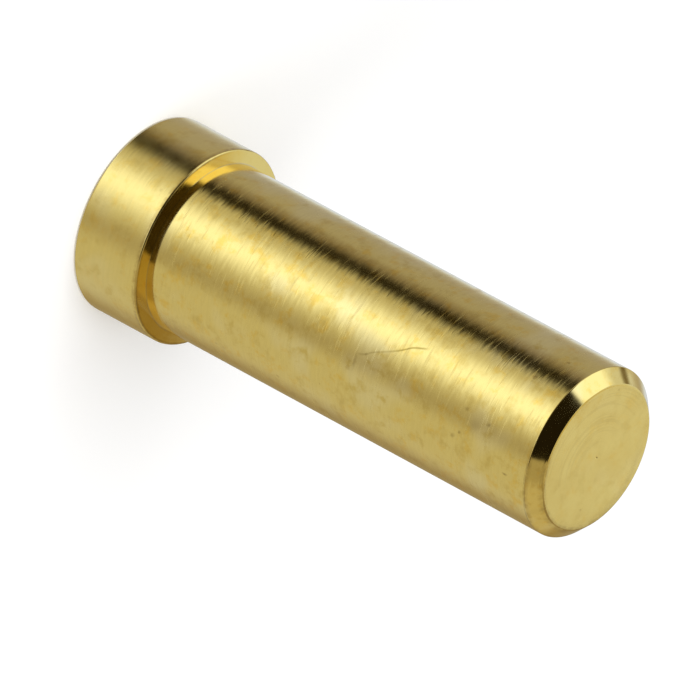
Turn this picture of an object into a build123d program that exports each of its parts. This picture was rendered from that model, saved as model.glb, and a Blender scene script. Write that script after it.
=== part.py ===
"""Press-in test jack: a turned shell with a head and a blind bore, and a rolled spring contact in the bore.

The jack stands on its head. The origin is the centre of the mouth, and +Z runs along the axis
from the mouth to the closed end. Lengths are in millimetres and angles in degrees.
"""

import os
from math import radians, tan

from build123d import *

# Outside of the shell
OVERALL_LENGTH = 8.96
BARREL_DIAMETER = 2.74
HEAD_LENGTH = 1.24
SHOULDER_WIDTH = 0.215
END_CHAMFER = 0.20
HEAD_EDGE_BREAK = 0.03
SHOULDER_ROOT_RADIUS = 0.025

# Bore of the shell
WALL_THICKNESS = 0.37
MOUTH_BEVEL_WIDTH = 0.20
MOUTH_BEVEL_ANGLE = 45
DRILL_POINT_ANGLE = 118
END_WALL = 1.10

# Spring contact, stamped from strip and rolled into a split tube
STRIP_THICKNESS = 0.16
COLLAR_INSET = 0.35
COLLAR_LENGTH = 1.30
COLLAR_LEAD_IN = 0.06
COLLAR_SEAM = 0.10
FINGER_COUNT = 6
FINGER_LENGTH = 3.20
FINGER_ROOT_LENGTH = 0.38
FINGER_TIP_LENGTH = 0.45
FINGER_TIP_RISE = 0.08
FINGER_SLOT_WIDTH = 0.18
FINGER_ROOT_BEND = 0.40
FINGER_GRIP_BEND = 0.60
FINGER_CLOSING = 0.22

# Radii and heights that follow from them
barrel_radius = BARREL_DIAMETER / 2
head_radius = barrel_radius + SHOULDER_WIDTH
bore_radius = barrel_radius - WALL_THICKNESS
mouth_radius = bore_radius + MOUTH_BEVEL_WIDTH
mouth_depth = MOUTH_BEVEL_WIDTH / tan(radians(MOUTH_BEVEL_ANGLE))
drill_point_length = bore_radius / tan(radians(DRILL_POINT_ANGLE / 2))
drill_point_top = OVERALL_LENGTH - END_WALL
bore_top = drill_point_top - drill_point_length
grip_outer_radius = bore_radius - FINGER_CLOSING
tip_outer_radius = grip_outer_radius + FINGER_TIP_RISE
collar_top = COLLAR_INSET + COLLAR_LENGTH
bend_height = collar_top + FINGER_ROOT_LENGTH
finger_top = collar_top + FINGER_LENGTH
grip_height = finger_top - FINGER_TIP_LENGTH
slot_end_radius = FINGER_SLOT_WIDTH / 2


# Shell: turned from bar, with a head, a chamfered closed end and a blind bore
with BuildPart() as shell:
    # the head and the barrel
    with BuildSketch(Plane.XZ):
        with BuildLine():
            Polyline(
                (0, 0),
                (head_radius, 0),
                (head_radius, HEAD_LENGTH),
                (barrel_radius, HEAD_LENGTH),
                (barrel_radius, OVERALL_LENGTH),
                (0, OVERALL_LENGTH),
                close=True,
            )
        make_face()
    revolve(axis=Axis.Z)

    # the head's two rims are broken, and the corner under it has a small root radius
    head_rims = shell.edges().filter_by(GeomType.CIRCLE).group_by(SortBy.RADIUS)[-1]
    chamfer(head_rims, length=HEAD_EDGE_BREAK)
    rings = shell.edges().filter_by(GeomType.CIRCLE)
    shoulder_rings = rings.filter_by_position(Axis.Z, HEAD_LENGTH, HEAD_LENGTH)
    fillet(shoulder_rings.sort_by(SortBy.RADIUS)[0], radius=SHOULDER_ROOT_RADIUS)

    # the closed end is chamfered to lead the barrel into its hole
    end_rim = shell.edges().filter_by(GeomType.CIRCLE).group_by(Axis.Z)[-1]
    chamfer(end_rim, length=END_CHAMFER)

    # countersunk mouth, drilled bore and the drill's point
    with BuildSketch(Plane.XZ):
        with BuildLine():
            Polyline(
                (0, 0),
                (mouth_radius, 0),
                (bore_radius, mouth_depth),
                (bore_radius, bore_top),
                (0, drill_point_top),
                close=True,
            )
        make_face()
    revolve(axis=Axis.Z, mode=Mode.SUBTRACT)
shell.part.label = "shell"


# Tool that cuts one gap between two fingers, with a round end against the collar
with BuildPart() as finger_slot:
    with BuildSketch(Plane.YZ):
        with Locations((0, collar_top + slot_end_radius)):
            Circle(slot_end_radius)
            Rectangle(FINGER_SLOT_WIDTH, FINGER_LENGTH, align=(Align.CENTER, Align.MIN))
    extrude(amount=barrel_radius)


# Contact: a split collar pressed into the bore, line to line, and fingers that close in to grip a pin
with BuildPart() as contact_clip:
    # the strip's section: straight collar, converging finger, rounded grip and flared tip
    with BuildSketch(Plane.XZ):
        with BuildLine():
            FilletPolyline(
                (bore_radius, COLLAR_INSET),
                (bore_radius, bend_height),
                (grip_outer_radius, grip_height),
                (tip_outer_radius, finger_top),
                radius=[FINGER_ROOT_BEND, FINGER_GRIP_BEND],
            )
            offset(amount=STRIP_THICKNESS, side=Side.LEFT)
        make_face()
    revolve(axis=Axis.Z)

    # lead-in at the collar's inner edge
    collar_rings = contact_clip.edges().filter_by(GeomType.CIRCLE).group_by(Axis.Z)[0]
    chamfer(collar_rings.sort_by(SortBy.RADIUS)[0], length=COLLAR_LEAD_IN)

    # gaps between the fingers
    with PolarLocations(0, FINGER_COUNT):
        add(finger_slot.part, mode=Mode.SUBTRACT)

    # seam where the strip's ends meet, in line with the first gap
    with Locations((0, 0, COLLAR_INSET)):
        Box(
            bore_radius,
            COLLAR_SEAM,
            COLLAR_LENGTH + slot_end_radius,
            align=(Align.MIN, Align.CENTER, Align.MIN),
            mode=Mode.SUBTRACT,
        )
contact_clip.part.label = "contact_clip"


os.makedirs("parts", exist_ok=True)
export_step(shell.part, "parts/shell.step")
export_step(contact_clip.part, "parts/contact_clip.step")
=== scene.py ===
from math import cos, hypot, radians, sin, tan

import bmesh
import bpy
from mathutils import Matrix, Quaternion, Vector


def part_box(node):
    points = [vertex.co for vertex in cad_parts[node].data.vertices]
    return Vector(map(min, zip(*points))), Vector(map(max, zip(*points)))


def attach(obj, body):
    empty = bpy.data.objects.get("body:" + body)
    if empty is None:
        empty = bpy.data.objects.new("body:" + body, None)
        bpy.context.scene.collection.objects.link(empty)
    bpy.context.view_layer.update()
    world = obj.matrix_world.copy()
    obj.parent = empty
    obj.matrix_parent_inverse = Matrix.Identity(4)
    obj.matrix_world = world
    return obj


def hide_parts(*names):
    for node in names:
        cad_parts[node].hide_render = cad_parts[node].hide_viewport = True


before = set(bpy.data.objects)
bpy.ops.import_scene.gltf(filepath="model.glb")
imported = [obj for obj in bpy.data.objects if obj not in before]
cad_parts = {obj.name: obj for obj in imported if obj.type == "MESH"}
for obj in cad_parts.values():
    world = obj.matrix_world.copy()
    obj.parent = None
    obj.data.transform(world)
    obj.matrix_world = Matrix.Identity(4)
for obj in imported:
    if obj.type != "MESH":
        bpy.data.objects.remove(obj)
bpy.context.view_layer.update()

scene = bpy.context.scene
scene.view_settings.view_transform = "Standard"

# The jack stands on its mouth with +Z along its axis. Its pieces are drawn in millimetres and are brought
# to metres when they are finished.
MM = 0.001
PER_MM = 1 / MM


# Camera

# Angles are in degrees, lens and sensor in millimetres, clips in shares of the camera's distance
CAMERA_RISE = 32.6
CAMERA_ROLL = 118.4
CAMERA_AIM = Vector((0.33, 0.0, 4.30)) * MM
FRAME_WIDTH = 10.34 * MM
LENS = 1000
SENSOR = 36
CLIP_NEAR = 0.05
CLIP_FAR = 4


def add_camera():
    """A long lens at the photograph's angle, so that the barrel's sides stay almost parallel."""
    rise = radians(CAMERA_RISE)
    back = Vector((0, -cos(rise), sin(rise)))
    data = bpy.data.cameras.new("camera")
    data.lens = LENS
    data.sensor_width = SENSOR
    distance = FRAME_WIDTH * LENS / SENSOR
    data.clip_start = distance * CLIP_NEAR
    data.clip_end = distance * CLIP_FAR
    camera = bpy.data.objects.new("camera", data)
    camera.rotation_mode = "QUATERNION"
    turn = Quaternion((0, 0, 1), radians(CAMERA_ROLL))
    camera.rotation_quaternion = (-back).to_track_quat("-Z", "Y") @ turn
    camera.location = CAMERA_AIM + back * distance
    scene.collection.objects.link(camera)
    scene.camera = camera


add_camera()


# Node helpers

def add_node(tree, kind, inputs=None, **settings):
    """Adds a node, sets its options, and sets or links its inputs."""
    node = tree.nodes.new("ShaderNode" + kind)
    for option, value in settings.items():
        setattr(node, option, value)
    for key, value in (inputs or {}).items():
        if isinstance(value, bpy.types.NodeSocket):
            tree.links.new(value, node.inputs[key])
        else:
            node.inputs[key].default_value = value
    return node


def calc(tree, operation, *values, clamp=False):
    """The result of a Math node."""
    node = add_node(tree, "Math", dict(enumerate(values)), operation=operation, use_clamp=clamp)
    return node.outputs[0]


def ramp(tree, value, low, high, out_low=0.0, out_high=1.0, smooth=True):
    """A value carried from one range to another, held at the ends."""
    kind = "SMOOTHSTEP" if smooth else "LINEAR"
    inputs = {0: value, 1: low, 2: high, 3: out_low, 4: out_high}
    return add_node(tree, "MapRange", inputs, interpolation_type=kind).outputs[0]


def mix(tree, factor, a, b, blend="MIX"):
    """A mix of two colours."""
    node = add_node(tree, "Mix", {0: factor, 6: a, 7: b}, data_type="RGBA", blend_type=blend)
    return node.outputs[2]


def noise(tree, vector, scale, detail=2.0, rough=0.5):
    """The value of a noise texture."""
    inputs = {"Vector": vector, "Scale": scale, "Detail": detail, "Roughness": rough}
    return add_node(tree, "TexNoise", inputs).outputs["Fac"]


def new_group(name, inputs, outputs):
    """An empty shader group with named sockets: (tree, input node, output node)."""
    tree = bpy.data.node_groups.new(name, "ShaderNodeTree")
    for label, kind, value in inputs:
        socket = tree.interface.new_socket(name=label, in_out="INPUT", socket_type="NodeSocket" + kind)
        if value is not None:
            socket.default_value = value
    for label, kind in outputs:
        tree.interface.new_socket(name=label, in_out="OUTPUT", socket_type="NodeSocket" + kind)
    return tree, tree.nodes.new("NodeGroupInput"), tree.nodes.new("NodeGroupOutput")


def use_group(tree, group, inputs):
    """Places a group in a material with its own values."""
    node = tree.nodes.new("ShaderNodeGroup")
    node.node_tree = group
    for key, value in inputs.items():
        if isinstance(value, bpy.types.NodeSocket):
            tree.links.new(value, node.inputs[key])
        else:
            node.inputs[key].default_value = value
    return node


# Shared effects

# The fibre on the barrel, in millimetres: its ends above the mouth, and its width
FIBRE_LOW = 5.24
FIBRE_HIGH = 6.41
FIBRE_WIDTH = 0.018

# Its line: share of the way up it, and place across the barrel plus a half
HAIRLINE = [
    (0.0, 0.850), (0.047, 0.825), (0.110, 0.802), (0.167, 0.772), (0.236, 0.715), (0.404, 0.615),
    (0.573, 0.510), (0.662, 0.440), (0.751, 0.365), (0.867, 0.310), (1.0, 0.255),
]

# Spots of residue: place across the barrel and height in millimetres, size, stretch upwards, strength
SPOTS = [
    (0.273, 7.43, 0.045, 1.0, 0.35), (0.329, 7.90, 0.050, 1.0, 0.55), (0.631, 7.42, 0.036, 1.0, 0.55),
    (0.719, 7.31, 0.050, 1.3, 0.40), (0.441, 7.65, 0.150, 1.0, 0.20), (0.854, 8.37, 0.026, 2.6, 0.60),
    (0.430, 5.29, 0.140, 0.3, 0.26), (0.278, 5.44, 0.035, 1.0, 0.36),
]


def make_round_place():
    """Millimetres across and along the axis: radius from a centre, and height."""
    tree, start, end = new_group(
        "round place",
        [("Vector", "Vector", None), ("Centre X", "Float", 0.0), ("Centre Y", "Float", 0.0)],
        [("Radius", "Float"), ("Height", "Float"), ("Place", "Vector")],
    )
    scaled = add_node(tree, "VectorMath", {0: start.outputs["Vector"], "Scale": PER_MM}, operation="SCALE")
    parts = add_node(tree, "SeparateXYZ", {0: scaled.outputs[0]})
    x = calc(tree, "SUBTRACT", parts.outputs[0], start.outputs["Centre X"])
    y = calc(tree, "SUBTRACT", parts.outputs[1], start.outputs["Centre Y"])
    flat = add_node(tree, "CombineXYZ", {0: x, 1: y})
    radius = add_node(tree, "VectorMath", {0: flat.outputs[0]}, operation="LENGTH")
    tree.links.new(radius.outputs["Value"], end.inputs["Radius"])
    tree.links.new(parts.outputs[2], end.inputs["Height"])
    tree.links.new(scaled.outputs[0], end.inputs["Place"])
    return tree


def make_tool_marks():
    """Fine broken lines left by the tool, close together across the cut, and sparse longer scratches."""
    tree, start, end = new_group(
        "tool marks",
        [("Place", "Vector", None), ("Across", "Float", 0.0), ("Marks per mm", "Float", 30.0),
         ("Mark length", "Float", 0.3)],
        [("Height", "Float"), ("Line", "Float"), ("Glint", "Float"), ("Scratch", "Float")],
    )
    parts = add_node(tree, "SeparateXYZ", {0: start.outputs["Place"]})
    layers = []
    for label, length, density, detail in (
        ("fine", 1.0, 1.0, 1.0), ("broad", 2.2, 0.28, 1.3), ("scratch", 1.8, 0.95, 0.0)
    ):
        span = calc(tree, "MULTIPLY", start.outputs["Mark length"], length)
        x = calc(tree, "DIVIDE", parts.outputs[0], span)
        y = calc(tree, "DIVIDE", parts.outputs[1], span)
        step = calc(tree, "MULTIPLY", start.outputs["Marks per mm"], density)
        across = calc(tree, "MULTIPLY", start.outputs["Across"], step)
        place = add_node(tree, "CombineXYZ", {0: x, 1: y, 2: across}, label=label)
        layers.append(noise(tree, place.outputs[0], 1.0, detail, 0.6))
    fine, broad, scratch = layers
    height = add_node(tree, "Mix", {0: 0.93, 2: fine, 3: broad}, data_type="FLOAT").outputs[0]
    cluster = ramp(tree, noise(tree, start.outputs["Place"], 3.0, 1.0, 0.5), 0.5, 0.62)
    tree.links.new(height, end.inputs["Height"])
    tree.links.new(ramp(tree, fine, 0.30, 0.70), end.inputs["Line"])
    tree.links.new(calc(tree, "MULTIPLY", ramp(tree, fine, 0.58, 0.70), cluster), end.inputs["Glint"])
    tree.links.new(ramp(tree, scratch, 0.60, 0.80), end.inputs["Scratch"])
    return tree


def make_plating_tone():
    """Soft drifts of warmer, paler and duller gold in the plating."""
    tree, start, end = new_group(
        "plating tone",
        [("Place", "Vector", None), ("Gold", "Color", (1, 1, 1, 1)), ("Warm", "Color", (1, 1, 1, 1)),
         ("Pale", "Color", (1, 1, 1, 1)), ("Dull", "Color", (1, 1, 1, 1)), ("Patch size", "Float", 0.6),
         ("Amount", "Float", 0.5)],
        [("Color", "Color")],
    )
    near = calc(tree, "DIVIDE", 1.0, start.outputs["Patch size"])
    patches = noise(tree, start.outputs["Place"], near, 3.0, 0.65)
    shifted = add_node(tree, "VectorMath", {0: start.outputs["Place"], 1: (7.3, 2.9, 5.1)}, operation="ADD")
    drifts = noise(tree, shifted.outputs[0], near, 3.0, 0.6)
    clouds = noise(tree, start.outputs["Place"], calc(tree, "MULTIPLY", near, 0.3), 1.0, 0.5)
    colour = start.outputs["Gold"]
    for tone, value, low, high in (
        ("Warm", patches, 0.50, 0.72),
        ("Pale", clouds, 0.52, 0.72),
        ("Dull", drifts, 0.50, 0.74),
    ):
        share = calc(tree, "MULTIPLY", ramp(tree, value, low, high), start.outputs["Amount"])
        colour = mix(tree, share, colour, start.outputs[tone])
    tree.links.new(colour, end.inputs["Color"])
    return tree


def make_specks():
    """Small scattered dots of residue, soft at their edges."""
    tree, start, end = new_group(
        "specks",
        [("Place", "Vector", None), ("Per mm", "Float", 6.0), ("Share", "Float", 0.1)],
        [("Mask", "Float")],
    )
    wobble = add_node(tree, "TexNoise", {"Vector": start.outputs["Place"], "Scale": 22.0, "Detail": 1.0})
    bent = add_node(
        tree, "VectorMath",
        {0: wobble.outputs["Color"], 1: (0.06, 0.06, 0.06), 2: start.outputs["Place"]},
        operation="MULTIPLY_ADD",
    )
    cells = add_node(tree, "TexVoronoi", {"Vector": bent.outputs[0], "Scale": start.outputs["Per mm"]})
    draw = add_node(tree, "SeparateColor", {0: cells.outputs["Color"]})
    chosen = calc(tree, "LESS_THAN", draw.outputs[0], start.outputs["Share"])
    size = ramp(tree, draw.outputs[1], 0.0, 1.0, 0.10, 0.30)
    edge = calc(tree, "SUBTRACT", size, cells.outputs["Distance"])
    level = ramp(tree, draw.outputs[2], 0.0, 1.0, 0.2, 0.8)
    dot = calc(tree, "MULTIPLY", ramp(tree, edge, 0.0, 0.24), level)
    tree.links.new(calc(tree, "MULTIPLY", dot, chosen), end.inputs["Mask"])
    return tree


def make_rim_line():
    """A thin uneven line along an edge."""
    tree, start, end = new_group(
        "rim line",
        [("Place", "Vector", None), ("Across", "Float", 0.0), ("At", "Float", 0.0),
         ("Width", "Float", 0.02), ("Break up", "Float", 0.5)],
        [("Mask", "Float")],
    )
    shift = noise(tree, start.outputs["Place"], 6.0, 3.0, 0.7)
    wander = calc(tree, "MULTIPLY", shift, start.outputs["Width"])
    place = calc(tree, "ADD", start.outputs["Across"], wander)
    away = calc(tree, "ABSOLUTE", calc(tree, "SUBTRACT", place, start.outputs["At"]))
    near = calc(tree, "SUBTRACT", 1.0, calc(tree, "DIVIDE", away, start.outputs["Width"]), clamp=True)
    rough = ramp(tree, noise(tree, start.outputs["Place"], 11.0, 3.0, 0.6), 0.35, 0.65)
    kept = calc(tree, "SUBTRACT", 1.0, calc(tree, "MULTIPLY", start.outputs["Break up"], rough))
    tree.links.new(calc(tree, "MULTIPLY", near, kept), end.inputs["Mask"])
    return tree


def make_toward():
    """How far a place lies to one side of the axis, from 0 to 1."""
    tree, start, end = new_group(
        "toward",
        [("Place", "Vector", None), ("Side", "Vector", (1, 0, 0)), ("From", "Float", 0.0),
         ("To", "Float", 1.0)],
        [("Mask", "Float")],
    )
    lean = add_node(
        tree, "VectorMath", {0: start.outputs["Place"], 1: start.outputs["Side"]}, operation="DOT_PRODUCT"
    )
    mask = ramp(tree, lean.outputs["Value"], start.outputs["From"], start.outputs["To"])
    tree.links.new(mask, end.inputs["Mask"])
    return tree


def make_spot():
    """One soft uneven spot of residue on the barrel's front."""
    tree, start, end = new_group(
        "spot",
        [("Place", "Vector", None), ("Across", "Float", 0.0), ("Up", "Float", 0.0), ("Size", "Float", 0.03),
         ("Stretch", "Float", 1.0)],
        [("Mask", "Float")],
    )
    parts = add_node(tree, "SeparateXYZ", {0: start.outputs["Place"]})
    x = calc(tree, "SUBTRACT", parts.outputs[0], start.outputs["Across"])
    above = calc(tree, "SUBTRACT", parts.outputs[2], start.outputs["Up"])
    z = calc(tree, "DIVIDE", above, start.outputs["Stretch"])
    flat = add_node(tree, "CombineXYZ", {0: x, 1: z})
    away = add_node(tree, "VectorMath", {0: flat.outputs[0]}, operation="LENGTH")
    wobble = ramp(tree, noise(tree, start.outputs["Place"], 24.0, 2.0, 0.6), 0.3, 0.7, 0.7, 1.3)
    uneven = calc(tree, "MULTIPLY", away.outputs["Value"], wobble)
    share = calc(tree, "DIVIDE", uneven, start.outputs["Size"])
    front = calc(tree, "LESS_THAN", parts.outputs[1], 0.0)
    tree.links.new(calc(tree, "MULTIPLY", ramp(tree, share, 1.0, 0.0), front), end.inputs["Mask"])
    return tree


def make_hairline():
    """A hair-thin curved line on the barrel's front: a fibre caught in the plating."""
    tree, start, end = new_group(
        "hairline",
        [("Place", "Vector", None), ("Low", "Float", 0.0), ("High", "Float", 1.0),
         ("Width", "Float", 0.01)],
        [("Mask", "Float")],
    )
    parts = add_node(tree, "SeparateXYZ", {0: start.outputs["Place"]})
    x, y, z = parts.outputs
    along = ramp(tree, z, start.outputs["Low"], start.outputs["High"], smooth=False)
    faint = ramp(tree, along, 0.45, 0.68, 0.48, 1.0)
    curve = add_node(tree, "FloatCurve", {"Value": along})
    points = curve.mapping.curves[0].points
    points[0].location = HAIRLINE[0]
    points[1].location = HAIRLINE[-1]
    for place in HAIRLINE[1:-1]:
        points.new(*place)
    curve.mapping.update()
    target = calc(tree, "SUBTRACT", curve.outputs[0], 0.5)
    away = calc(tree, "ABSOLUTE", calc(tree, "SUBTRACT", x, target))
    near = ramp(tree, away, calc(tree, "MULTIPLY", start.outputs["Width"], 1.6), 0.0)
    middle = calc(tree, "ABSOLUTE", calc(tree, "SUBTRACT", along, 0.5))
    ends = ramp(tree, middle, 0.5, 0.36)
    mask = calc(tree, "MULTIPLY", calc(tree, "MULTIPLY", near, ends), faint)
    tree.links.new(calc(tree, "MULTIPLY", mask, calc(tree, "LESS_THAN", y, 0.0)), end.inputs["Mask"])
    return tree


round_place = make_round_place()
tool_marks = make_tool_marks()
plating_tone = make_plating_tone()
specks = make_specks()
rim_line = make_rim_line()
toward = make_toward()
spot = make_spot()
hairline = make_hairline()


# Sizes of the shell, in millimetres

SHOULDER_WIDTH = 0.215
HEAD_LENGTH = 1.24
END_CHAMFER = 0.20
WALL = 0.37
MOUTH_BEVEL = 0.20
END_WALL = 1.10
DRILL_ANGLE = 118

# How far the shoulder's rim is below its plane and its root above it, a slope that its reflection needs
SHOULDER_TILT = 0.013

# The first stretch of the barrel, which the tool's nose left smooth
LAND_LENGTH = 0.18

# Rounded arrises
MOUTH_EDGE = 0.010
HEAD_EDGE = 0.028
CHAMFER_EDGE = 0.012
END_EDGE = 0.018
BORE_EDGE = 0.012
DRILL_EDGE = 0.020

# The centre point in the closed end: radii, and depths below the face
CENTRE_R = 0.022
CENTRE_FLOOR_R = 0.012
CENTRE_DEPTH = 0.010
CENTRE_TIP = 0.014

# Radii and heights that follow from the frame and from these. The solid's facets reach the head's full
# radius along one axis at least.
shell_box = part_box("shell")
HEAD_R = max(shell_box[1].xy) * PER_MM
LENGTH = shell_box[1].z * PER_MM
BARREL_R = HEAD_R - SHOULDER_WIDTH
END_R = BARREL_R - END_CHAMFER
BORE_R = BARREL_R - WALL
MOUTH_R = BORE_R + MOUTH_BEVEL
SHOULDER_RIM = HEAD_LENGTH - SHOULDER_TILT
SHOULDER_ROOT = HEAD_LENGTH + SHOULDER_TILT
LAND_TOP = HEAD_LENGTH + LAND_LENGTH
BARREL_TOP = LENGTH - END_CHAMFER
DRILL_POINT = BORE_R / tan(radians(DRILL_ANGLE / 2))
BORE_TOP = LENGTH - END_WALL - DRILL_POINT


# Finishes

GOLD = (0.88, 0.67, 0.20, 1)
WARM_GOLD = (0.87, 0.58, 0.11, 1)
PALE_GOLD = (0.90, 0.72, 0.28, 1)
DULL_GOLD = (0.76, 0.55, 0.14, 1)
SPECK = (0.42, 0.26, 0.06, 1)
BROWN = (0.26, 0.16, 0.04, 1)
TAN = (0.46, 0.33, 0.10, 1)
FIBRE = (0.24, 0.145, 0.005, 1)
GREY_GOLD = (0.66, 0.57, 0.36, 1)


class Finish:
    """One plated surface: the place on it, the tool's marks, the tone of the gold and the residue.

    across says whether the marks follow one another by height or by radius. marks is their number per
    millimetre, and length is how long each is. tone is the strength of the drifts of tone, and patch is
    their size. share is the share of places with a speck, and centre is what the marks run round.
    """

    def __init__(self, name, across, marks, length, tone=0.5, patch=0.5, share=0.05, centre=(0, 0)):
        self.material = bpy.data.materials.new(name)
        self.material.use_nodes = True
        self.tree = self.material.node_tree
        self.tree.nodes.clear()
        where = add_node(self.tree, "TexCoord")
        self.round = use_group(
            self.tree, round_place,
            {"Vector": where.outputs["Object"], "Centre X": centre[0], "Centre Y": centre[1]},
        )
        self.place = self.round.outputs["Place"]
        self.marks = use_group(
            self.tree, tool_marks,
            {"Place": self.place, "Across": self.round.outputs[across], "Marks per mm": marks,
             "Mark length": length},
        )
        toned = use_group(
            self.tree, plating_tone,
            {"Place": self.place, "Gold": GOLD, "Warm": WARM_GOLD, "Pale": PALE_GOLD, "Dull": DULL_GOLD,
             "Patch size": patch, "Amount": tone},
        )
        dots = use_group(self.tree, specks, {"Place": self.place, "Per mm": 5.0, "Share": share})
        self.dots = dots.outputs["Mask"]
        self.colour = mix(self.tree, self.dots, toned.outputs["Color"], SPECK)

    def stain(self, mask, strength=1.0, colour=BROWN):
        """Tints the gold under a mask."""
        self.colour = mix(self.tree, calc(self.tree, "MULTIPLY", mask, strength), self.colour, colour)

    def line_tint(self, dark, light):
        """Shades the gold a little along the tool's marks."""
        level = ramp(self.tree, self.marks.outputs["Line"], 0.0, 1.0, dark, light, smooth=False)
        grey = add_node(self.tree, "CombineColor", {0: level, 1: level, 2: level})
        self.colour = mix(self.tree, 1.0, self.colour, grey.outputs[0], blend="MULTIPLY")

    def line_at(self, across, at, width, break_up):
        """The mask of a thin uneven line where a value across the surface reaches a place."""
        inputs = {"Place": self.place, "Across": across, "At": at, "Width": width, "Break up": break_up}
        return use_group(self.tree, rim_line, inputs).outputs["Mask"]

    def edge_line(self, across, at, width, break_up=0.5):
        """The mask of a thin uneven line at a radius or height."""
        return self.line_at(self.round.outputs[across], at, width, break_up)

    def rim_radius(self):
        """The radius from the jack's own axis, for a finish that is centred beside it."""
        where = add_node(self.tree, "TexCoord")
        inputs = {"Vector": where.outputs["Object"], "Centre X": 0.0, "Centre Y": 0.0}
        return use_group(self.tree, round_place, inputs).outputs["Radius"]

    def side(self, direction, low, high):
        """The mask of one side of the jack."""
        inputs = {"Place": self.place, "Side": direction, "From": low, "To": high}
        return use_group(self.tree, toward, inputs).outputs["Mask"]

    def both(self, a, b):
        """Where two masks meet."""
        return calc(self.tree, "MULTIPLY", a, b)

    def complete(self, depth, rough_low, rough_high, lift=0.0, ridge=0.0, scratch=0.0):
        """Adds the metal shader with its roughness and bump."""
        tree = self.tree
        patches = noise(tree, self.place, 2.3, 3.0, 0.6)
        rough = ramp(tree, patches, 0.3, 0.7, rough_low, rough_high)
        rough = calc(tree, "ADD", rough, calc(tree, "MULTIPLY", self.dots, 0.08))
        if scratch:
            rough = calc(tree, "ADD", rough, calc(tree, "MULTIPLY", self.marks.outputs["Scratch"], scratch))
        height = self.marks.outputs["Height"]
        if ridge:
            height = calc(tree, "ADD", height, calc(tree, "MULTIPLY", self.marks.outputs["Glint"], ridge))
        if lift:
            soft = noise(tree, self.place, 1.6, 1.0, 0.5)
            height = calc(tree, "ADD", height, calc(tree, "MULTIPLY", soft, lift))
        bump = add_node(tree, "Bump", {"Strength": 1.0, "Distance": depth * MM, "Height": height})
        shader = add_node(
            tree, "BsdfPrincipled",
            {"Base Color": self.colour, "Metallic": 1.0, "Roughness": rough, "Normal": bump.outputs[0]},
        )
        out = add_node(tree, "OutputMaterial")
        tree.links.new(shader.outputs[0], out.inputs[0])
        return self.material


def barrel_finish():
    """Turned and plated barrel: marks and scratches, a brown line at its closed end on one side, spots of
    residue and a caught fibre.
    """
    finish = Finish(
        "turned barrel gold", "Height", marks=30, length=0.22, tone=0.95, patch=0.24, share=0.08
    )
    finish.line_tint(0.955, 1.0)
    edge = finish.edge_line("Height", BARREL_TOP - 0.005, width=0.022, break_up=0.6)
    finish.stain(finish.both(edge, finish.side((1, 0, 0), -0.2, 0.7)), 0.5)
    for across, up, size, stretch, strength in SPOTS:
        inputs = {"Place": finish.place, "Across": across, "Up": up, "Size": size, "Stretch": stretch}
        finish.stain(use_group(finish.tree, spot, inputs).outputs["Mask"], strength)
    inputs = {"Place": finish.place, "Low": FIBRE_LOW, "High": FIBRE_HIGH, "Width": FIBRE_WIDTH}
    fibre = use_group(finish.tree, hairline, inputs)
    finish.stain(fibre.outputs["Mask"], 0.66, FIBRE)
    return finish.complete(
        depth=0.0032, rough_low=0.12, rough_high=0.16, lift=0.35, ridge=0.14, scratch=0.15
    )


def head_finish():
    """Turned and plated head, smoother than the barrel, with residue along the rim by the shoulder."""
    finish = Finish("turned head gold", "Height", marks=30, length=0.4, tone=0.65, patch=0.26, share=0.08)
    finish.line_tint(0.975, 1.0)
    rim = finish.edge_line("Height", SHOULDER_RIM - 0.012, width=0.050, break_up=0.7)
    finish.stain(rim, 0.6, SPECK)
    return finish.complete(depth=0.0016, rough_low=0.17, rough_high=0.22, lift=2.3, ridge=0.2)


def chamfer_finish():
    """Chamfer of the closed end, cut bright, with brown lines along both edges on one side."""
    finish = Finish(
        "bright chamfer gold", "Height", marks=24, length=0.4, tone=0.75, patch=0.14, share=0.10
    )
    plus_side = finish.side((1, 0, 0), -0.2, 0.7)
    upper = finish.edge_line("Radius", END_R + 0.035, width=0.065, break_up=0.6)
    finish.stain(finish.both(upper, plus_side), 0.45)
    lower = finish.edge_line("Height", BARREL_TOP + 0.025, width=0.040, break_up=0.6)
    finish.stain(finish.both(lower, plus_side), 0.42)
    return finish.complete(depth=0.0016, rough_low=0.07, rough_high=0.12, lift=0.6, ridge=0.2)


def end_finish():
    """Closed end, faced: brown arcs beside its turning centre, brown lines near its rim, each on one side,
    and painted shade that darkens the face towards +X.
    """
    finish = Finish(
        "faced end gold", "Radius", marks=17, length=1.3, tone=0.45, patch=0.28, share=0.05,
        centre=(0.10, 0.05),
    )
    arcs = ramp(finish.tree, finish.marks.outputs["Line"], 0.50, 0.20)
    finish.stain(finish.both(arcs, finish.side((-0.5, -0.87, 0), -0.1, 0.45)), 0.12, TAN)
    outer = finish.line_at(finish.rim_radius(), END_R, width=0.045, break_up=0.7)
    finish.stain(finish.both(outer, finish.side((1, 0, 0), 0.0, 0.8)), 0.45)
    inner = finish.edge_line("Radius", END_R - 0.11, width=0.10, break_up=0.6)
    finish.stain(finish.both(inner, finish.side((0.5, 0.87, 0), 0.2, 1.0)), 0.22)
    # painted shade: the whole face a little darker towards +X
    finish.stain(finish.side((1, 0, 0), -0.2, 1.2), 0.07)
    return finish.complete(depth=0.0015, rough_low=0.20, rough_high=0.27, lift=0.5)


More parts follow.
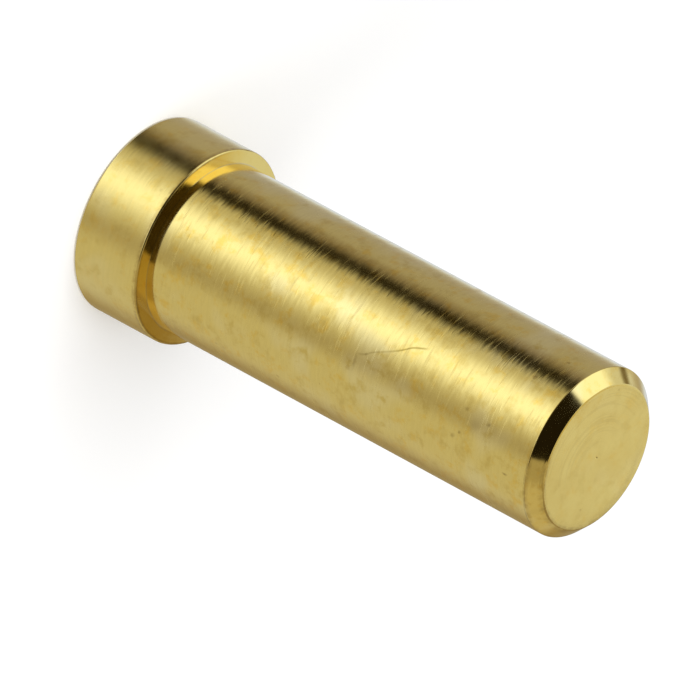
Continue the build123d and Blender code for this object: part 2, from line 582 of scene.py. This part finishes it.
def shoulder_finish():
    """Shoulder, cut bright, with a grey line at its root and a brown line along part of its rim."""
    finish = Finish("bright shoulder gold", "Radius", marks=30, length=0.6, tone=0.4, patch=0.3, share=0.10)
    root = finish.edge_line("Radius", BARREL_R + 0.012, width=0.014, break_up=0.3)
    finish.stain(root, 0.8, GREY_GOLD)
    rim = finish.edge_line("Radius", HEAD_R - 0.005, width=0.034, break_up=0.4)
    finish.stain(finish.both(rim, finish.side((0.6, -0.8, 0), -0.4, 0.4)), 0.7)
    return finish.complete(depth=0.0008, rough_low=0.10, rough_high=0.15, lift=1.0)


def land_finish():
    """Land of the barrel by the shoulder, smoother than the rest, with a grey line at the shoulder."""
    finish = Finish("smooth land gold", "Height", marks=30, length=0.3, tone=0.6, patch=0.24, share=0.08)
    root = finish.edge_line("Height", SHOULDER_ROOT + 0.010, width=0.014, break_up=0.3)
    finish.stain(root, 0.5, GREY_GOLD)
    return finish.complete(depth=0.0010, rough_low=0.10, rough_high=0.14, lift=1.0)


def bore_finish():
    """Drilled bore and drill point, rougher than the outside."""
    finish = Finish("drilled bore gold", "Height", marks=14, length=1.2, tone=0.7, patch=0.4, share=0.08)
    return finish.complete(depth=0.0015, rough_low=0.34, rough_high=0.46)


def mouth_finish():
    """Faced mouth and its countersink."""
    finish = Finish("faced mouth gold", "Radius", marks=26, length=0.7, tone=0.4, patch=0.5, share=0.05)
    return finish.complete(depth=0.0005, rough_low=0.16, rough_high=0.22)


def contact_finish():
    """Rolled and plated strip."""
    finish = Finish("rolled strip gold", "Height", marks=3, length=0.08, tone=0.5, patch=0.5, share=0.04)
    return finish.complete(depth=0.0004, rough_low=0.20, rough_high=0.28)


finishes = {
    "barrel": barrel_finish(),
    "head": head_finish(),
    "chamfer": chamfer_finish(),
    "end": end_finish(),
    "shoulder": shoulder_finish(),
    "land": land_finish(),
    "bore": bore_finish(),
    "mouth": mouth_finish(),
}
strip_finish = contact_finish()


# Modelling helpers

def start_ring(name, radius, height, segments):
    """A circle with its place in its mesh, open in edit mode and selected."""
    bpy.ops.object.select_all(action="DESELECT")
    bpy.ops.mesh.primitive_circle_add(
        vertices=segments, radius=radius, fill_type="NOTHING", location=(0, 0, height)
    )
    piece = bpy.context.object
    piece.name = piece.data.name = name
    bpy.ops.object.transform_apply(location=True, rotation=False, scale=False)
    bpy.ops.object.mode_set(mode="EDIT")
    bpy.ops.mesh.select_all(action="SELECT")
    return piece


def draw_out(profile):
    """Draws the selected ring out along (radius, height) steps."""
    for (radius, height), (next_radius, next_height) in zip(profile, profile[1:]):
        bpy.ops.mesh.extrude_region_move(TRANSFORM_OT_translate={"value": (0, 0, next_height - height)})
        grow = next_radius / radius
        bpy.ops.transform.resize(value=(grow, grow, 1), center_override=(0, 0, next_height))


def close_to_point(rise):
    """Draws the selected ring out and gathers it to a point on the axis."""
    bpy.ops.mesh.extrude_region_move(TRANSFORM_OT_translate={"value": (0, 0, rise)})
    bpy.ops.mesh.merge(type="CENTER")


def select_ring(piece, radius, height, reach=0.0005):
    """Selects only the ring of edges at this radius and height."""
    bpy.ops.mesh.select_all(action="DESELECT")
    bpy.ops.mesh.select_mode(type="EDGE")
    mesh = bmesh.from_edit_mesh(piece.data)
    for edge in mesh.edges:
        edge.select_set(
            all(
                abs(hypot(v.co.x, v.co.y) - radius) < reach and abs(v.co.z - height) < reach
                for v in edge.verts
            )
        )
    bmesh.update_edit_mesh(piece.data)


def round_ring(piece, radius, height, size, segments=3):
    """Rounds the arris at this radius and height."""
    select_ring(piece, radius, height)
    bpy.ops.mesh.bevel(
        offset_type="OFFSET", offset=size, segments=segments, profile=0.5, affect="EDGES",
        clamp_overlap=False,
    )


def finish_mesh(piece, angle=35):
    """Merges doubles, points faces outwards, shades curves smooth and flats flat, and goes to metres."""
    bpy.ops.object.mode_set(mode="EDIT")
    bpy.ops.mesh.select_all(action="SELECT")
    bpy.ops.mesh.remove_doubles(threshold=1e-5)
    bpy.ops.mesh.normals_make_consistent(inside=False)
    bpy.ops.object.mode_set(mode="OBJECT")
    bpy.ops.object.select_all(action="DESELECT")
    piece.select_set(True)
    bpy.context.view_layer.objects.active = piece
    bpy.ops.object.shade_smooth_by_angle(angle=radians(angle))
    weighted = piece.modifiers.new("even normals", "WEIGHTED_NORMAL")
    weighted.keep_sharp = True
    bpy.ops.object.modifier_apply(modifier=weighted.name)

    # the modifier passes over faces as small as these are in metres, so the scale comes last
    piece.scale = (MM, MM, MM)
    bpy.ops.object.transform_apply(location=False, rotation=False, scale=True)


# Shell

SEGMENTS = 192

# Rings that divide the closed end's flat face
END_RINGS = (0.8, 0.4, 0.1)

# How far a finish reaches over the rounded arris at its edge
ARRIS_REACH = 0.005


def make_shell():
    """Turned shell: drawn out from the mouth's rim over the outside, and from there again down the bore."""
    shell = start_ring("turned_shell", MOUTH_R, 0, SEGMENTS)
    draw_out([
        (MOUTH_R, 0),
        (HEAD_R, 0),
        (HEAD_R, SHOULDER_RIM),
        (BARREL_R, SHOULDER_ROOT),
        (BARREL_R, LAND_TOP),
        (BARREL_R, BARREL_TOP),
        (END_R, LENGTH),
        *((radius, LENGTH) for radius in END_RINGS),
        (CENTRE_R, LENGTH),
        (CENTRE_FLOOR_R, LENGTH - CENTRE_DEPTH),
    ])
    close_to_point(CENTRE_DEPTH - CENTRE_TIP)
    select_ring(shell, MOUTH_R, 0)
    draw_out([(MOUTH_R, 0), (BORE_R, MOUTH_BEVEL), (BORE_R, BORE_TOP)])
    close_to_point(DRILL_POINT)
    for radius, height, size, segments in (
        (MOUTH_R, 0, MOUTH_EDGE, 3),
        (HEAD_R, 0, HEAD_EDGE, 4),
        (HEAD_R, SHOULDER_RIM, HEAD_EDGE, 4),
        (BARREL_R, BARREL_TOP, CHAMFER_EDGE, 3),
        (END_R, LENGTH, END_EDGE, 4),
        (BORE_R, MOUTH_BEVEL, BORE_EDGE, 3),
        (BORE_R, BORE_TOP, DRILL_EDGE, 3),
    ):
        round_ring(shell, radius, height, size, segments)
    finish_mesh(shell)
    return shell


def zone_of(radius, height):
    """The finish that belongs at this radius and height on the shell."""
    if height > LENGTH - END_EDGE and radius < END_R - ARRIS_REACH:
        return "end"
    if height > BARREL_TOP - ARRIS_REACH and radius > END_R - ARRIS_REACH:
        return "chamfer"
    if height > MOUTH_BEVEL - ARRIS_REACH and radius < BORE_R + ARRIS_REACH:
        return "bore"
    if height < MOUTH_EDGE or radius < MOUTH_R:
        return "mouth"
    if height < SHOULDER_RIM - ARRIS_REACH:
        return "head"
    if height < SHOULDER_ROOT + ARRIS_REACH:
        return "shoulder"
    if height < LAND_TOP:
        return "land"
    return "barrel"


def dress_shell(shell):
    """Gives each zone of the shell its own finish."""
    slots = {}
    for name, material in finishes.items():
        slots[name] = len(shell.data.materials)
        shell.data.materials.append(material)
    for face in shell.data.polygons:
        radius = hypot(face.center.x, face.center.y) * PER_MM
        face.material_index = slots[zone_of(radius, face.center.z * PER_MM)]


shell = make_shell()
dress_shell(shell)
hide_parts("shell")
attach(shell, "root")


# Spring contact

# Sizes of the strip as it is rolled, in millimetres
STRIP = 0.16
COLLAR_FOOT = 0.35
COLLAR_LENGTH = 1.30
LEAD_IN = 0.06
FINGERS = 6
FINGER_LENGTH = 3.20
FINGER_ROOT = 0.38
FINGER_TIP = 0.45
TIP_RISE = 0.08
CLOSING = 0.22
ROOT_BEND = 0.40
GRIP_BEND = 0.60
GAP_WIDTH = 0.18
SEAM_WIDTH = 0.10
SHEARED_EDGE = 0.010

# The collar's mesh stops this far short of the bore's, so that they share no face
WALL_GAP = 0.001

# How far the cutters reach past the strip
OVERCUT = 0.2

# Radii and heights that follow
COLLAR_TOP = COLLAR_FOOT + COLLAR_LENGTH
BEND_HEIGHT = COLLAR_TOP + FINGER_ROOT
FINGER_TOP = COLLAR_TOP + FINGER_LENGTH
GRIP_HEIGHT = FINGER_TOP - FINGER_TIP
GRIP_R = BORE_R - CLOSING
TIP_R = GRIP_R + TIP_RISE
CUT_FROM = GRIP_R - STRIP - OVERCUT
CUT_TO = BORE_R + OVERCUT


def offset_line(line, distance):
    """The line moved to its left, with mitred corners."""
    places = [Vector(place) for place in line]
    normals = []
    for place, after in zip(places, places[1:]):
        along = (after - place).normalized()
        normals.append(Vector((-along.y, along.x)))
    moved = []
    for place, before, after in zip(places, normals[:1] + normals, normals + normals[-1:]):
        moved.append(tuple(place + (before + after) * distance / (1 + before.dot(after))))
    return moved


def strip_section():
    """The strip's section as radii and heights: its outer face upwards and its inner face downwards."""
    line = [(BORE_R, COLLAR_FOOT), (BORE_R, BEND_HEIGHT), (GRIP_R, GRIP_HEIGHT), (TIP_R, FINGER_TOP)]
    outside = [(min(radius, BORE_R - WALL_GAP), height) for radius, height in line]
    inside = offset_line(line, STRIP)
    foot = inside.pop(0)[0]
    inside = [(foot + LEAD_IN, COLLAR_FOOT), (foot, COLLAR_FOOT + LEAD_IN)] + inside
    return outside, inside[::-1]


def bend_size(line, at, radius):
    """How far from this corner of the line a bend of the radius begins."""
    before, corner, after = (Vector(place) for place in line[at - 1:at + 2])
    return radius * tan((corner - before).angle(after - corner) / 2)


def cutter_block(name, low, high):
    """A block that cuts the strip, between two corners."""
    bpy.ops.object.select_all(action="DESELECT")
    centre = (Vector(low) + Vector(high)) / 2
    bpy.ops.mesh.primitive_cube_add(size=1, location=centre)
    block = bpy.context.object
    block.name = block.data.name = name
    block.scale = Vector(high) - Vector(low)
    bpy.ops.object.transform_apply(location=True, rotation=False, scale=True)
    return block


def cut_away(piece, cutter):
    """Cuts the block out of the piece and removes it."""
    bpy.ops.object.select_all(action="DESELECT")
    piece.select_set(True)
    bpy.context.view_layer.objects.active = piece
    cut = piece.modifiers.new("cut", "BOOLEAN")
    cut.operation = "DIFFERENCE"
    cut.solver = "EXACT"
    cut.object = cutter
    bpy.ops.object.modifier_apply(modifier=cut.name)
    bpy.data.objects.remove(cutter)


def make_gap_cutters():
    """One gap between two fingers, with a round end against the collar, and its copies round the axis."""
    low = (CUT_FROM, -GAP_WIDTH / 2, COLLAR_TOP)
    high = (CUT_TO, GAP_WIDTH / 2, FINGER_TOP + OVERCUT)
    gap = cutter_block("gaps", low, high)
    bpy.ops.object.mode_set(mode="EDIT")
    bpy.ops.mesh.select_mode(type="EDGE")
    bpy.ops.mesh.select_all(action="DESELECT")
    mesh = bmesh.from_edit_mesh(gap.data)
    for edge in mesh.edges:
        a, b = edge.verts
        lowest = max(a.co.z, b.co.z) < COLLAR_TOP + 0.01
        edge.select_set(lowest and abs(a.co.y - b.co.y) < 1e-4)
    bmesh.update_edit_mesh(gap.data)

    # just under half the gap's width, so that the two rounded corners do not meet
    bpy.ops.mesh.bevel(
        offset_type="OFFSET", offset=GAP_WIDTH * 0.499, segments=7, profile=0.5, affect="EDGES"
    )
    bpy.ops.mesh.select_all(action="SELECT")
    bpy.ops.mesh.spin(
        steps=FINGERS - 1, angle=radians(360 - 360 / FINGERS), dupli=True,
        center=(0, 0, 0), axis=(0, 0, 1),
    )
    bpy.ops.mesh.select_all(action="SELECT")
    bpy.ops.mesh.normals_make_consistent(inside=False)
    bpy.ops.object.mode_set(mode="OBJECT")
    return gap


def make_contact():
    """Strip rolled into a split tube: collar, converging fingers, rounded grip and flared tips."""
    outside, inside = strip_section()
    contact = start_ring("spring_contact", *outside[0], SEGMENTS)
    draw_out(outside + inside + outside[:1])
    bpy.ops.mesh.select_all(action="SELECT")
    bpy.ops.mesh.remove_doubles(threshold=1e-4)
    for line, at, radius, segments in (
        (outside, 1, ROOT_BEND, 2),
        (inside, 2, ROOT_BEND - STRIP, 2),
        (outside, 2, GRIP_BEND, 5),
        (inside, 1, GRIP_BEND + STRIP, 5),
    ):
        round_ring(contact, *line[at], bend_size(line, at, radius), segments)
    bpy.ops.mesh.select_all(action="SELECT")
    bpy.ops.mesh.normals_make_consistent(inside=False)
    bpy.ops.object.mode_set(mode="OBJECT")
    cut_away(contact, make_gap_cutters())
    low = (CUT_FROM, -SEAM_WIDTH / 2, COLLAR_FOOT - OVERCUT)
    high = (CUT_TO, SEAM_WIDTH / 2, COLLAR_TOP + GAP_WIDTH / 2)
    cut_away(contact, cutter_block("seam", low, high))
    soften = contact.modifiers.new("sheared edges", "BEVEL")
    soften.width = SHEARED_EDGE
    soften.segments = 2
    soften.limit_method = "ANGLE"
    soften.angle_limit = radians(40)
    bpy.ops.object.modifier_apply(modifier=soften.name)
    finish_mesh(contact)
    return contact


contact = make_contact()
contact.data.materials.append(strip_finish)
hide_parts("contact_clip")
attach(contact, "root")


# Floor and light

# In metres
FLOOR_DROP = 0.02 * MM
FLOOR_SIZE = 3.0
TENT_RADIUS = 0.30

# The floor's own glow where it is seen, and the level of the world's light on what is matt
FLOOR_GLOW = 0.14
WORLD_LEVEL = 0.40

# The height, in degrees, at which a leaning panel of the tent stands at its own centre
LEAN_LEVEL = -32.6


def sees_backdrop(tree):
    """1 for rays from the camera and for those that metal or glass sends on, 0 for the rest."""
    path = add_node(tree, "LightPath")
    seen = calc(tree, "MAXIMUM", path.outputs["Is Camera Ray"], path.outputs["Is Glossy Ray"])
    return calc(tree, "MAXIMUM", seen, path.outputs["Is Transmission Ray"])


def add_floor():
    """A plain pale floor just under the mouth, seen from above only."""
    bpy.ops.object.select_all(action="DESELECT")
    bpy.ops.mesh.primitive_plane_add(size=FLOOR_SIZE, location=(0, 0, -FLOOR_DROP))
    floor = bpy.context.object
    floor.name = "floor"
    bpy.ops.object.transform_apply(location=True, rotation=False, scale=False)
    material = bpy.data.materials.new("pale floor")
    material.use_nodes = True
    tree = material.node_tree
    tree.nodes.clear()
    face = add_node(tree, "NewGeometry")
    matt = add_node(
        tree, "BsdfPrincipled",
        {"Base Color": (0.9, 0.9, 0.9, 1), "Roughness": 0.9, "Specular IOR Level": 0.0,
         "Emission Color": (1, 1, 1, 1),
         "Emission Strength": calc(tree, "MULTIPLY", sees_backdrop(tree), FLOOR_GLOW)},
    )
    clear = add_node(tree, "BsdfTransparent")
    both = add_node(
        tree, "MixShader", {0: face.outputs["Backfacing"], 1: matt.outputs[0], 2: clear.outputs[0]}
    )
    out = add_node(tree, "OutputMaterial")
    tree.links.new(both.outputs[0], out.inputs[0])
    floor.data.materials.append(material)
    floor.visible_glossy = False


def make_tent_panel():
    """One soft-edged panel of the light tent, laid over what is behind it."""
    tree, start, end = new_group(
        "tent panel",
        [("Behind", "Color", (0, 0, 0, 1)), ("Panel", "Color", (1, 1, 1, 1)), ("Turn", "Float", 0.0),
         ("Rise", "Float", 0.0), ("Turn centre", "Float", 0.0), ("Turn half", "Float", 10.0),
         ("Turn edge", "Float", 5.0), ("Rise centre", "Float", 0.0), ("Rise half", "Float", 10.0),
         ("Rise edge", "Float", 5.0), ("Lean", "Float", 0.0)],
        [("Color", "Color")],
    )
    get = start.outputs
    above_level = calc(tree, "SUBTRACT", get["Rise"], LEAN_LEVEL)
    centre = calc(tree, "MULTIPLY_ADD", above_level, get["Lean"], get["Turn centre"])
    around = calc(tree, "PINGPONG", calc(tree, "SUBTRACT", get["Turn"], centre), 180.0)
    above = calc(tree, "ABSOLUTE", calc(tree, "SUBTRACT", get["Rise"], get["Rise centre"]))
    masks = []
    for away, label in ((around, "Turn"), (above, "Rise")):
        outer = calc(tree, "ADD", get[label + " half"], get[label + " edge"])
        inner = calc(tree, "SUBTRACT", get[label + " half"], get[label + " edge"])
        masks.append(ramp(tree, away, outer, inner))
    mask = calc(tree, "MULTIPLY", *masks)
    tree.links.new(mix(tree, mask, get["Behind"], get["Panel"]), end.inputs["Color"])
    return tree


TENT_WALL = (0.60, 0.60, 0.58)

# Each panel's colour, then its centre, half width and soft edge in degrees round the jack, the same three
# above the horizon, and its lean in degrees round for each degree up. A later panel covers an earlier one.
TENT_PANELS = {
    "warm wall": ((0.36, 0.30, 0.18), (168, 38, 22), (-40, 58, 8), 0),
    "cool wall": ((0.74, 0.84, 1.05), (-163, 14, 11), (-50, 38, 8), 0),
    "dim wall": ((0.41, 0.405, 0.45), (-114, 32, 12), (-45, 45, 8), 0),
    "side dip": ((0.44, 0.42, 0.39), (34, 12, 12), (-45, 45, 8), 0),
    "card shade": ((0.26, 0.23, 0.23), (-84, 11, 9), (-45, 45, 8), 1.6),
    "black card": ((0.02, 0.016, 0.010), (-70.6, 11.2, 8), (-45, 45, 8), 1.6),
    "key strip": ((1.34, 1.49, 1.90), (-16.5, 17, 17), (-38, 40, 16), 1.2),
    "upper wall": ((0.57, 0.53, 0.43), (76, 75, 12), (40, 38, 8), 0),
    "ring shade above": ((0.41, 0.37, 0.28), (86, 56, 10), (49, 6, 4), 0),
    "ring shade below": ((0.38, 0.34, 0.29), (60, 40, 8), (12, 14, 4), 0),
    "ring shade side": ((0.36, 0.32, 0.27), (139, 23, 6), (38, 12, 5), 0),
    "gold card": ((0.30, 0.21, 0.065), (167, 8, 3), (40, 17, 5), 0),
    "end wall": ((0.74, 0.80, 0.90), (-163, 23, 3), (40, 38, 8), 0),
    "end wall top": ((0.64, 0.54, 0.24), (-163, 23, 3), (60, 21.5, 4), 0),
    "side softbox": ((1.22, 1.37, 1.76), (-95, 26, 6), (33, 22, 6), 0),
    "softbox fall": ((0.72, 0.78, 0.95), (-132, 16, 10), (33, 22, 6), 0),
    "roof gap": ((0.014, 0.011, 0.007), (-9.8, 58, 3), (50, 32, 4), 0),
    "low gap": ((0.048, 0.038, 0.017), (-10, 47, 9), (27, 22, 4), 0),
    "dark horizon": ((0.20, 0.17, 0.12), (-137, 4, 3), (8, 8, 3), 0),
}


def add_tent():
    """The tent that the plating mirrors: a sphere of soft panels that only reflections see."""
    bpy.ops.object.select_all(action="DESELECT")
    bpy.ops.mesh.primitive_uv_sphere_add(segments=64, ring_count=32, radius=TENT_RADIUS)
    tent = bpy.context.object
    tent.name = "light_tent"
    panel_group = make_tent_panel()
    material = bpy.data.materials.new("light tent")
    material.use_nodes = True
    tree = material.node_tree
    tree.nodes.clear()
    where = add_node(tree, "TexCoord")
    ray = add_node(tree, "VectorMath", {0: where.outputs["Object"]}, operation="NORMALIZE")
    parts = add_node(tree, "SeparateXYZ", {0: ray.outputs[0]})
    front = calc(tree, "MULTIPLY", parts.outputs[1], -1.0)
    turn = calc(tree, "DEGREES", calc(tree, "ARCTAN2", parts.outputs[0], front))
    rise = calc(tree, "DEGREES", calc(tree, "ARCSINE", parts.outputs[2]))
    behind = (*TENT_WALL, 1)
    labels = ("Turn centre", "Turn half", "Turn edge", "Rise centre", "Rise half", "Rise edge")
    for name, (colour, across, above, lean) in TENT_PANELS.items():
        inputs = {"Behind": behind, "Panel": (*colour, 1), "Turn": turn, "Rise": rise, "Lean": lean}
        inputs.update(zip(labels, across + above))
        panel = use_group(tree, panel_group, inputs)
        panel.label = name
        behind = panel.outputs["Color"]
    glow = add_node(tree, "Emission", {"Color": behind, "Strength": 1.0})
    out = add_node(tree, "OutputMaterial")
    tree.links.new(glow.outputs[0], out.inputs[0])
    material.cycles.emission_sampling = "NONE"
    tent.data.materials.append(material)
    tent.visible_camera = False
    tent.visible_diffuse = False
    tent.visible_transmission = False
    tent.visible_volume_scatter = False
    tent.visible_shadow = False


def add_world():
    """White for the camera and in reflections, and a softer even light for the rest."""
    world = bpy.data.worlds.new("studio")
    scene.world = world
    world.use_nodes = True
    tree = world.node_tree
    tree.nodes.clear()
    level = ramp(tree, sees_backdrop(tree), 0.0, 1.0, WORLD_LEVEL, 1.0, smooth=False)
    back = add_node(tree, "Background", {"Color": (1, 1, 1, 1), "Strength": level})
    out = add_node(tree, "OutputWorld")
    tree.links.new(back.outputs[0], out.inputs[0])


def add_lamp(name, place, size, power):
    """A soft square lamp aimed at the jack's middle: place and size in millimetres, power in watts."""
    data = bpy.data.lights.new(name, "AREA")
    data.size = size * MM
    data.energy = power
    lamp = bpy.data.objects.new(name, data)
    lamp.location = Vector(place) * MM
    aim = CAMERA_AIM - lamp.location
    lamp.rotation_mode = "QUATERNION"
    lamp.rotation_quaternion = aim.to_track_quat("-Z", "Y")
    lamp.visible_glossy = False
    scene.collection.objects.link(lamp)


add_floor()
add_tent()
add_world()
add_lamp("top lamp", place=(-20, -30, 120), size=70, power=0.096)
add_lamp("side lamp", place=(70, -60, 70), size=60, power=0.036)
